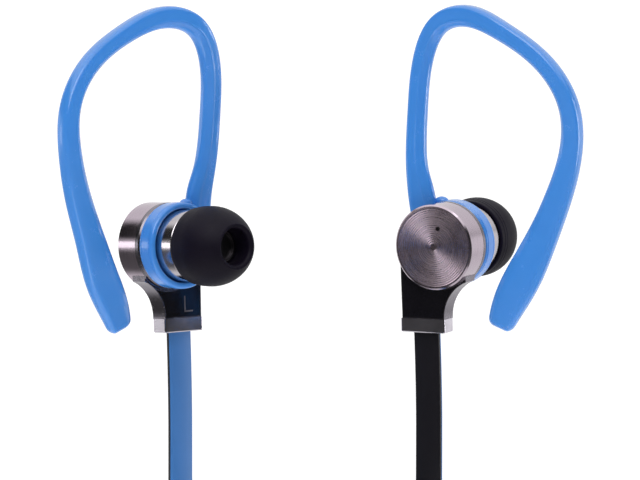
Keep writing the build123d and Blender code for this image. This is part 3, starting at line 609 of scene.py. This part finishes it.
def branch_route(route, hand, y):
    """One ear's cable: its own route, one turn of the hank, then the lead into the splitter."""
    low = HANK_TOP - HANK_RUN
    offsets = [-BRANCH_X, BRANCH_X - BRANCH_STEP, -(BRANCH_X - TURN_PITCH)]
    points = list(route) + run_points(HANK_X - hand * BRANCH_X, HANK_TOP, low, y)
    turns = wound(offsets, y, True, hand)
    points += turns[:len(turns) - RUN_POINTS]
    points += lead_points(HANK_X - hand * (BRANCH_X - TURN_PITCH), HANK_TOP, HANK_X, SPLIT_TOP, y)
    points.append((HANK_X, y, SPLIT_TOP - SPLIT_OVERLAP))
    return points


def trunk_route():
    """The shared cable: out of the splitter, six half turns of the hank, then down into the plug's sleeve."""
    low = HANK_TOP - HANK_RUN
    offsets = [-TRUNK_IN]
    while len(offsets) < TRUNK_RUNS:
        offsets.append(-math.copysign(abs(offsets[-1]) + TURN_PITCH / 2, offsets[-1]))
    points = [(HANK_X, HANK_Y, SPLIT_BOTTOM)]
    points += lead_points(HANK_X, SPLIT_BOTTOM, HANK_X - TRUNK_IN, low, HANK_Y)
    points += wound(offsets, HANK_Y, True)
    tail_heights = (low - TAIL_STRAIGHT, RELIEF_TOP + TAIL_STRAIGHT, RELIEF_TOP)
    return points + [(HANK_X - TRUNK_OUT, HANK_Y, z) for z in tail_heights]


def spline_points(name, route):
    """Points read from the route's NURBS spline, in metres."""
    curve = bpy.data.curves.new(name, "CURVE")
    curve.dimensions = "3D"
    spline = curve.splines.new("NURBS")
    spline.points.add(len(route) - 1)
    for point, place in zip(spline.points, route):
        point.co = (*[c * MM for c in place], 1)
    spline.order_u = 3
    spline.use_endpoint_u = True
    spline.resolution_u = 10
    holder = bpy.data.objects.new(name, curve)
    bpy.context.scene.collection.objects.link(holder)
    line = bpy.data.meshes.new_from_object(holder)
    points = [v.co.copy() for v in line.vertices]
    bpy.data.objects.remove(holder)
    bpy.data.meshes.remove(line)
    return points


SEAM_AT = 0.12          # the two jackets meet here, in millimetres from the middle towards the blue side
SEAM_HALF = 0.05
SEAM_DEPTH = 0.05
LEAD_CORNER = 0.28


def ribbon_outline():
    """Closed outline of the flat cable as (across, through, blue) with a fine seam on both edges."""
    half_w, half_t, corner = CABLE_W / 2, CABLE_T / 2, LEAD_CORNER
    quarter = [math.radians(a) for a in (0, 30, 60, 90)]
    right_top = [(half_w - corner + corner * math.cos(a), half_t - corner + corner * math.sin(a)) for a in quarter]
    seam = [(half_w, SEAM_AT - SEAM_HALF), (half_w - SEAM_DEPTH, SEAM_AT), (half_w, SEAM_AT + SEAM_HALF)]
    right_low = [(x, -z) for x, z in reversed(right_top)]
    right = right_low + seam + right_top
    left = [(-x, z) for x, z in reversed(right)]
    return right + left


def ribbon(name, path, start_across, turn_from, turn_to):
    """Two-tone flat cable along a path: blue on the nozzle side, black on the other and round the edges."""
    outline = ribbon_outline()
    rows = len(outline)
    steps = [0.0]
    for a, b in zip(path, path[1:]):
        steps.append(steps[-1] + (b - a).length)
    start_angle = math.atan2(start_across.y, start_across.x)
    end_angle = math.pi / 2
    points, faces, slots, loops = [], [], [], []
    for i, place in enumerate(path):
        along = (path[min(i + 1, len(path) - 1)] - path[max(i - 1, 0)]).normalized()
        share = min(1.0, max(0.0, (steps[i] - turn_from) / (turn_to - turn_from))) if turn_to else 1.0
        share = share * share * (3 - 2 * share)
        angle = start_angle + (end_angle - start_angle) * share
        across = Vector((math.cos(angle), math.sin(angle), 0))
        across = (across - along * along.dot(across)).normalized()
        through = along.cross(across)
        points += [place + (across * x + through * z) * MM for x, z in outline]
    girth = [0.0]
    for (ax, az), (bx, bz) in zip(outline, outline[1:] + outline[:1]):
        girth.append(girth[-1] + math.hypot(bx - ax, bz - az) * MM)
    for i in range(len(path) - 1):
        for j in range(rows):
            k = (j + 1) % rows
            faces.append((i * rows + j, i * rows + k, (i + 1) * rows + k, (i + 1) * rows + j))
            slots.append(0 if min(outline[j][1], outline[k][1]) >= SEAM_AT - 1e-6 else 1)
            for row, column in ((i, j), (i, j + 1), (i + 1, j + 1), (i + 1, j)):
                loops.append((steps[row], girth[column]))
    last = (len(path) - 1) * rows
    for ring in ([*range(rows)], [last + j for j in range(rows)]):
        faces.append(ring)
        slots.append(1)
        loops += [(0.0, 0.0)] * rows
    piece = new_object(name, points, faces, loops, (cable_blue, cable_black), slots)
    close_normals(piece)
    shade_smooth(piece.data, 40)
    return piece


TWIST_FROM = 0.027      # metres along the branch where the cable begins to turn into line with the hank
TWIST_TO = 0.062

for side, route, hand, layer in (
    ("left", LEFT_ROUTE, 1, HANK_Y - HANK_LAYER),
    ("right", RIGHT_ROUTE, -1, HANK_Y + HANK_LAYER),
):
    path = spline_points(f"{side}_route", branch_route(route, hand, layer))
    lead = ribbon(f"{side}_flat_cable", path, EARS[side].x, TWIST_FROM, TWIST_TO)
    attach(lead, "root")
    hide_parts(f"{side}_cable", f"{side}_hank")

trunk_path = spline_points("trunk_route", trunk_route())
trunk = ribbon("trunk_flat_cable", trunk_path, Vector((0, 1, 0)), 0, 0)
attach(trunk, "root")
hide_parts("trunk_hank", "trunk_tail")

# ---------------------------------------------------------------------------
# Ear hooks
# ---------------------------------------------------------------------------

# Centre line in the earpiece's frame: x, y, z, half width, half thickness
HOOK_STATIONS = [
    (4.3, 1.6, 5.75, 2.1, 1.2),
    (4.75, 5.4, 5.6, 2.3, 1.3),
    (5.3, 8.6, 5.65, 2.15, 1.4),
    (5.95, 11.4, 6.0, 1.8, 1.5),
    (6.35, 14.6, 6.5, 1.62, 1.55),
    (6.45, 21.0, 7.45, 1.55, 1.55),
    (5.75, 29.3, 8.45, 1.58, 1.55),
    (3.0, 34.5, 8.5, 1.68, 1.6),
    (-2.2, 36.15, 7.6, 1.78, 1.6),
    (-9.1, 34.0, 6.5, 1.6, 1.52),
    (-16.8, 29.0, 6.05, 1.55, 1.5),
    (-21.0, 22.2, 6.15, 1.6, 1.55),
    (-21.2, 15.3, 6.15, 1.8, 1.55),
    (-19.3, 8.2, 5.5, 2.15, 1.55),
    (-16.6, 1.6, 4.8, 2.55, 1.5),
    (-13.5, -4.9, 3.75, 3.05, 1.45),
    (-10.85, -9.9, 3.3, 2.65, 1.35),
    (-9.65, -12.9, 3.05, 2.05, 1.1),
]
# Half sections from the outer edge to the inner one: across, through. The ridge sits near the inner edge.
LIMB_SECTION = [(1.0, 0.0), (0.985, 0.5), (0.84, 0.86), (0.3, 0.93), (-0.2, 0.95), (-0.34, 1.0), (-0.5, 0.92),
                (-0.68, 0.76), (-0.88, 0.56), (-1.0, 0.2)]
TAIL_SECTION = [(1.0, 0.0), (0.975, 0.6), (0.84, 0.93), (0.3, 0.95), (-0.2, 0.95), (-0.4, 0.93), (-0.56, 0.87),
                (-0.72, 0.74), (-0.9, 0.56), (-1.0, 0.24)]
RIDGE = (4, 5, 6)       # points of the half section that keep a crisp edge
TAIL_FROM = 0.6
TAIL_TO = 0.85
RIDGE_CREASE = 0.5
END_ROUND = 1.1         # millimetres over which the tail's end is rounded off
END_ANGLES = (0, 20, 40, 58, 74, 86)
END_GAP = 0.3
END_THIN = 0.12         # share of the thickness left at the very end
END_NARROW = 0.6        # share of the width left at the very end


def hook_loop(name, ear):
    """Swept loop with a ridge along both faces and a paddle at its end."""
    rows = cubic_through(HOOK_STATIONS, 8)
    lengths = np.concatenate([[0], np.cumsum(np.linalg.norm(np.diff(rows[:, :3], axis=0), axis=1))])
    total = lengths[-1]
    end_steps = [total - END_ROUND * (1 - math.sin(math.radians(a))) for a in END_ANGLES]
    places = [step for step in lengths if step < total - END_ROUND - END_GAP] + end_steps
    columns = np.array([np.interp(places, lengths, rows[:, c]) for c in range(5)]).T
    half = len(LIMB_SECTION)
    points, faces = [], []
    for i, (place, row) in enumerate(zip(places, columns)):
        before, after = columns[max(i - 1, 0), :3], columns[min(i + 1, len(columns) - 1), :3]
        along = Vector(after - before).normalized()
        across = along.cross(Vector((0, 0, 1))).normalized()
        through = across.cross(along)
        share = min(1.0, max(0.0, (place / total - TAIL_FROM) / (TAIL_TO - TAIL_FROM)))
        left = total - place
        wide, deep = row[3:]
        if left < END_ROUND:
            shrink = max(END_THIN, math.sqrt(max(0.0, 1 - (1 - left / END_ROUND) ** 2)))
            wide *= END_NARROW + (1 - END_NARROW) * shrink
            deep *= shrink
        section = [
            (a[0] + (b[0] - a[0]) * share, a[1] + (b[1] - a[1]) * share)
            for a, b in zip(LIMB_SECTION, TAIL_SECTION)
        ]
        ring = section + [(p, -q) for p, q in reversed(section[1:])]
        centre = Vector(row[:3])
        points += [ear.point(*(centre + across * (p * wide) + through * (q * deep))) for p, q in ring]
    count = 2 * half - 1
    for i in range(len(places) - 1):
        for j in range(count):
            k = (j + 1) % count
            faces.append((i * count + j, i * count + k, (i + 1) * count + k, (i + 1) * count + j))
    faces.append([*range(count)])
    faces.append([(len(places) - 1) * count + j for j in range(count)])
    piece = new_object(name, points, faces)
    close_normals(piece)
    ridge = piece.data.attributes.new("crease_edge", "FLOAT", "EDGE")
    for edge in piece.data.edges:
        a, b = (v % count for v in edge.vertices)
        if a == b and min(a, count - a) in RIDGE:
            ridge.data[edge.index].value = RIDGE_CREASE
    smoother = piece.modifiers.new("smooth", "SUBSURF")
    smoother.levels = smoother.render_levels = 2
    return applied(piece)


# Ring of the hook: radius, height. Two fine grooves round it and a raised lip on its front.
RING_PROFILE = [
    (5.76, 4.82), (6.66, 4.82), (6.82, 4.96), (6.84, 5.2), (6.76, 5.26), (6.76, 5.36), (6.87, 5.44), (6.88, 6.5),
    (6.87, 7.02), (6.8, 7.08), (6.8, 7.16), (6.86, 7.22), (6.84, 7.5), (6.72, 7.74), (6.5, 7.86), (6.2, 7.89),
    (6.0, 7.84), (5.88, 7.7), (5.82, 7.5), (5.76, 7.4),
]
NUB_AT = (1.9, 6.6, 6.3)
NUB_SIZE = (1.15, 0.75, 0.8)


def hook_nub(name, ear):
    """Small rounded stop that stands on the ring beside the loop."""
    shape = bmesh.new()
    bmesh.ops.create_icosphere(shape, subdivisions=4, radius=1)
    for vertex in shape.verts:
        x, y, z = (c * s + p for c, s, p in zip(vertex.co, NUB_SIZE, NUB_AT))
        vertex.co = ear.point(x, y, z)
    mesh = bpy.data.meshes.new(name)
    shape.to_mesh(mesh)
    shape.free()
    piece = bpy.data.objects.new(name, mesh)
    bpy.context.scene.collection.objects.link(piece)
    close_normals(piece)
    return piece


for side, ear in EARS.items():
    loop = hook_loop(f"{side}_hook_moulding", ear)
    ring = revolved(f"{side}_ring", ear, RING_PROFILE, segments=128, smooth_angle=32)
    joined(loop, ring, hook_nub(f"{side}_nub", ear))
    loop.data.materials.clear()
    loop.data.materials.append(hook_blue)
    shade_smooth(loop.data, 38)
    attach(loop, f"{side}_hook")
    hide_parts(f"{side}_ear_hook")

# ---------------------------------------------------------------------------
# Silicone tips
# ---------------------------------------------------------------------------

TIP_STEPS = (12.55, 13.15)   # heights of the two fine steps round the skirt
TIP_STEP_DEPTH = 0.045


def tip_profile():
    """Closed outline of the tip as (radius, height): sleeve, underside of the dome, skirt, dome and mouth."""
    skirt = [(5.55, 11.72), (5.62, 11.62), (5.8, 11.58), (6.02, 11.62), (6.12, 11.74)]
    under = arc_through((3.35, 16.9), (5.1, 16.1), (5.75, 13.9), 12) + [(5.75, 13.9)]
    sleeve = [(2.76, 13.0), (2.84, 12.9), (3.27, 12.9), (3.35, 13.0)]
    low, high = TIP_STEPS
    steps = [(6.2, low - 0.05), (6.2 + TIP_STEP_DEPTH, low), (6.26, high - 0.05), (6.26 + TIP_STEP_DEPTH, high)]
    dome = arc_through((6.33, 14.0), (5.58, 17.8), (3.6, 20.38), 26)
    mouth = arc_through((3.6, 20.38), (3.05, 20.2), (2.92, 19.6), 8) + [(2.92, 19.6), (2.86, 18.2), (2.77, 17.6)]
    return sleeve + under + skirt + steps + dome + mouth


for side, ear in EARS.items():
    tip = revolved(f"{side}_silicone_tip", ear, tip_profile(), segments=192, smooth_angle=28)
    tip.data.materials.append(tip_black)
    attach(tip, f"{side}_tip")
    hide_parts(f"{side}_ear_tip")

# ---------------------------------------------------------------------------
# Side marks on the inner plates
# ---------------------------------------------------------------------------

MARK_AT = (3.9, -9.5)
MARK_HEIGHT = 2.3
MARK_WIDTH = 1.5
MARK_STROKE = 0.26
PLATE_FACE = 3.8
MARK_LIFT = 0.03
# Strokes of each letter as corner points in units of its width and height, from its middle
LETTERS = {
    "left": [[(-0.5, 0.5), (-0.5, -0.5), (0.5, -0.5)]],
    "right": [[(-0.5, -0.5), (-0.5, 0.5), (0.3, 0.5), (0.5, 0.35), (0.5, 0.1), (0.3, -0.02), (-0.5, -0.02)],
              [(0.05, -0.02), (0.5, -0.5)]],
}


def side_mark(name, ear, strokes):
    """Letter of thin painted strokes that stand just proud of the plate."""
    points, faces = [], []
    for stroke in strokes:
        corners = [Vector((MARK_AT[0] + x * MARK_WIDTH, MARK_AT[1] + y * MARK_HEIGHT)) for x, y in stroke]
        for a, b in zip(corners, corners[1:]):
            along = (b - a).normalized() * MARK_STROKE / 2
            side_way = Vector((-along.y, along.x))
            outline = [a - along - side_way, b + along - side_way, b + along + side_way, a - along + side_way]
            first = len(points)
            for height, inset in ((PLATE_FACE - 0.01, 1.0), (PLATE_FACE + MARK_LIFT * 0.6, 1.0),
                                  (PLATE_FACE + MARK_LIFT, 0.82)):
                middle = (a + b) / 2
                for corner in outline:
                    spot = middle + (corner - middle) * (1 - (1 - inset) * MARK_STROKE / (corner - middle).length)
                    points.append(ear.point(spot.x, spot.y, height))
            for level in range(2):
                for j in range(4):
                    k = (j + 1) % 4
                    low = first + level * 4
                    faces.append((low + j, low + k, low + 4 + k, low + 4 + j))
            faces.append((first + 3, first + 2, first + 1, first))
            faces.append((first + 8, first + 9, first + 10, first + 11))
    piece = new_object(name, points, faces, materials=(mark_paint,))
    shade_smooth(piece.data, 30)
    close_normals(piece)
    return piece


for side, strokes in LETTERS.items():
    mark = side_mark(f"{side}_side_mark", EARS[side], strokes)
    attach(mark, "root")

# ---------------------------------------------------------------------------
# Straps round the hank
# ---------------------------------------------------------------------------

STRAP_T = 0.62
STRAP_CORNER = 1.0
STRAP_EDGE = 0.16
STRAP_GAP = 0.06        # room left between the strap and the outside of its CAD solid
STRAP_SMOOTH = 50
STRAP_TAB = 6.5         # length of the loose end that lies over the first lap
TAB_T = 0.45
TAB_INSET = 0.6
TAB_STEPS = 12


def strap_outline(half_x, half_y, corner):
    """Rounded rectangle as points in order, from the middle of the front side."""
    centres = ((1, -1, -90), (1, 1, 0), (-1, 1, 90), (-1, -1, 180))
    points = [(0.0, -half_y)]
    for sx, sy, start in centres:
        for a in range(0, 91, 15):
            angle = math.radians(start + a)
            points.append((sx * (half_x - corner) + corner * math.cos(angle),
                           sy * (half_y - corner) + corner * math.sin(angle)))
    return points


def band(name, line, closed, low, high, wall):
    """Strap along a plan line of (x, y, outward normal), with rounded long edges."""
    edge = STRAP_EDGE
    section = [(0, low + edge), (0, high - edge), (edge, high), (wall - edge, high), (wall, high - edge),
               (wall, low + edge), (wall - edge, low), (edge, low)]
    rows = len(section)
    count = len(line)
    points, faces, loops = [], [], []
    lengths = [0.0]
    for (a, _), (b, _) in zip(line, line[1:] + line[:1]):
        lengths.append(lengths[-1] + (Vector(b) - Vector(a)).length * MM)
    for (x, y), (nx, ny) in line:
        for out, height in section:
            points.append(Vector((x + nx * out, y + ny * out, height)) * MM)
    for i in range(count if closed else count - 1):
        for j in range(rows):
            k, n = (j + 1) % rows, (i + 1) % count
            faces.append((i * rows + j, i * rows + k, n * rows + k, n * rows + j))
            for step, column in ((i, j), (i, k), (i + 1, k), (i + 1, j)):
                out, height = section[column]
                loops.append((lengths[step], (height + out) * MM))
    if not closed:
        for first in (0, (count - 1) * rows):
            faces.append([first + j for j in range(rows)])
            loops += [(0.0, 0.0)] * rows
    piece = new_object(name, points, faces, loops, (strap_black,))
    close_normals(piece)
    shade_smooth(piece.data, STRAP_SMOOTH)
    return piece


def with_normals(points, closed):
    """Adds the outward normal to each plan point of a line that runs anticlockwise."""
    out = []
    count = len(points)
    for i, point in enumerate(points):
        before = points[(i - 1) % count] if closed or i else point
        after = points[(i + 1) % count] if closed or i < count - 1 else point
        along = (Vector(after) - Vector(before)).normalized()
        out.append((point, (along.y, -along.x)))
    return out


for side in SIDES:
    low_corner, high_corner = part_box(f"{side}_tie")
    middle = (low_corner + high_corner) / 2 / MM
    size = (high_corner - low_corner) / MM
    low, high = low_corner.z / MM, high_corner.z / MM
    half_x, half_y = size.x / 2 - STRAP_GAP, size.y / 2 - STRAP_GAP
    inside = strap_outline(half_x - STRAP_T, half_y - STRAP_T, STRAP_CORNER)
    plan = [(x + middle.x, y + middle.y) for x, y in inside]
    strap = band(f"{side}_strap", with_normals(plan, True), True, low, high, STRAP_T)
    hand = -1 if side == "left" else 1
    tab_start = middle.y - hand * STRAP_TAB / 2
    tab_line = [
        (middle.x + hand * half_x, tab_start + hand * STRAP_TAB * i / TAB_STEPS) for i in range(TAB_STEPS + 1)
    ]
    tab = band(f"{side}_strap_tab", with_normals(tab_line, False), False, low + TAB_INSET, high - TAB_INSET, TAB_T)
    joined(strap, tab)
    shade_smooth(strap.data, STRAP_SMOOTH)
    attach(strap, "root")
    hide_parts(f"{side}_tie")

# ---------------------------------------------------------------------------
# Floor, light and background
# ---------------------------------------------------------------------------

FLOOR_DROP = 0.006      # metres
FLOOR_REACH = 14.0      # metres
FLOOR_SIDES = 64


def pale_floor():
    """Wide pale disc below the object."""
    z = CAD_BOX[0].z - FLOOR_DROP
    angles = [math.tau * i / FLOOR_SIDES for i in range(FLOOR_SIDES)]
    rim = [(FLOOR_REACH * math.cos(angle), FLOOR_REACH * math.sin(angle), z) for angle in angles]
    floor = new_object("floor", rim, [[*range(FLOOR_SIDES)]])
    s = Shade("floor_pale")
    grain = s.noise(s.coords.outputs["Object"], 3.0)
    s.colour(s.blend(s.spread(grain, 0, 1), (0.80, 0.80, 0.805), (0.82, 0.82, 0.82)))
    s.rough(s.spread(grain, 0.7, 0.8))
    s.set(Specular_IOR_Level=0.1, Emission_Color=(1, 1, 1), Emission_Strength=0.42)
    floor.data.materials.append(s.material)
    floor.visible_glossy = False


def soft_light(name, place, width, height, power):
    """Rectangular area light that faces the camera's target; metres and watts."""
    data = bpy.data.lights.new(name, "AREA")
    data.shape = "RECTANGLE"
    data.size = width
    data.size_y = height
    data.energy = power
    light = bpy.data.objects.new(name, data)
    bpy.context.scene.collection.objects.link(light)
    light.location = place
    light.rotation_mode = "QUATERNION"
    light.rotation_quaternion = (CAMERA_TARGET - Vector(place)).to_track_quat("-Z", "Y")
    light.visible_camera = False


# Brightness by height of the direction: the tent, and the band added at the horizon
SKY = ((-1.0, 0.85), (-0.72, 0.8), (-0.64, 0.12), (-0.24, 0.09), (-0.15, 0.0), (0.15, 0.0), (0.2, 0.02), (0.52, 0.03),
       (0.62, 1.05), (1.0, 1.25))
HORIZON = ((-0.22, 0.0), (-0.14, 1.0), (0.14, 1.0), (0.22, 0.0))
HORIZON_FRONT = 0.05    # strength of the band on the camera's side
HORIZON_SIDE = 0.95     # and at the sides and behind, from the depth HORIZON_TO on
HORIZON_TO = 0.35
BACK = 0.85             # even brightness behind the object, faded in between two depths
BACK_FROM = 0.48
BACK_TO = 0.57


def studio_world():
    """White to the camera; a soft tent elsewhere, with dark bands above and below the horizon for metal to show."""
    world = bpy.data.worlds.new("studio")
    bpy.context.scene.world = world
    world.use_nodes = True
    tree = world.node_tree
    tree.nodes.clear()

    def mapped(source, from_low, from_high, to_low, to_high):
        made = tree.nodes.new("ShaderNodeMapRange")
        ends = (("From Min", from_low), ("From Max", from_high), ("To Min", to_low), ("To Max", to_high))
        for key, value in ends:
            made.inputs[key].default_value = value
        tree.links.new(source, made.inputs["Value"])
        return made.outputs["Result"]

    def banded(stops):
        """Brightness by height: stops are (z of the direction, value)."""
        ramp = tree.nodes.new("ShaderNodeValToRGB")
        while len(ramp.color_ramp.elements) < len(stops):
            ramp.color_ramp.elements.new(0.5)
        for element, (place, value) in zip(ramp.color_ramp.elements, stops):
            element.position = (place + 1) / 2
            element.color = (value, value, value, 1)
        tree.links.new(lift, ramp.inputs["Fac"])
        return ramp.outputs["Color"]

    def combined(operation, first, second):
        made = tree.nodes.new("ShaderNodeMath")
        made.operation = operation
        tree.links.new(first, made.inputs[0])
        tree.links.new(second, made.inputs[1])
        return made.outputs[0]

    coords = tree.nodes.new("ShaderNodeTexCoord")
    split = tree.nodes.new("ShaderNodeSeparateXYZ")
    tree.links.new(coords.outputs["Generated"], split.inputs[0])
    lift = mapped(split.outputs["Z"], -1, 1, 0, 1)
    depth = mapped(split.outputs["Y"], 0, HORIZON_TO, HORIZON_FRONT, HORIZON_SIDE)
    behind = mapped(split.outputs["Y"], BACK_FROM, BACK_TO, 0, 1)
    horizon = combined("MULTIPLY", banded(HORIZON), depth)
    around = tree.nodes.new("ShaderNodeMix")
    around.inputs[3].default_value = BACK
    tree.links.new(behind, around.inputs[0])
    tree.links.new(combined("ADD", banded(SKY), horizon), around.inputs[2])
    tent = tree.nodes.new("ShaderNodeBackground")
    tree.links.new(around.outputs[0], tent.inputs["Color"])
    white = tree.nodes.new("ShaderNodeBackground")
    white.inputs["Color"].default_value = (1, 1, 1, 1)
    path = tree.nodes.new("ShaderNodeLightPath")
    mix = tree.nodes.new("ShaderNodeMixShader")
    tree.links.new(path.outputs["Is Camera Ray"], mix.inputs[0])
    tree.links.new(tent.outputs[0], mix.inputs[1])
    tree.links.new(white.outputs[0], mix.inputs[2])
    out = tree.nodes.new("ShaderNodeOutputWorld")
    tree.links.new(mix.outputs[0], out.inputs["Surface"])


pale_floor()
studio_world()
soft_light("key", (-0.35, -0.9, 1.0), 0.9, 0.9, 6)
soft_light("right_strip", (0.85, 0.17, 0.06), 0.08, 0.55, 1.2)
soft_light("left_card", (-0.85, 0.12, 0.0), 0.1, 0.16, 0.1)
soft_light("front_low", (-0.5, -0.75, -0.75), 0.6, 0.4, 1.2)
bpy.context.scene.view_settings.view_transform = "Standard"
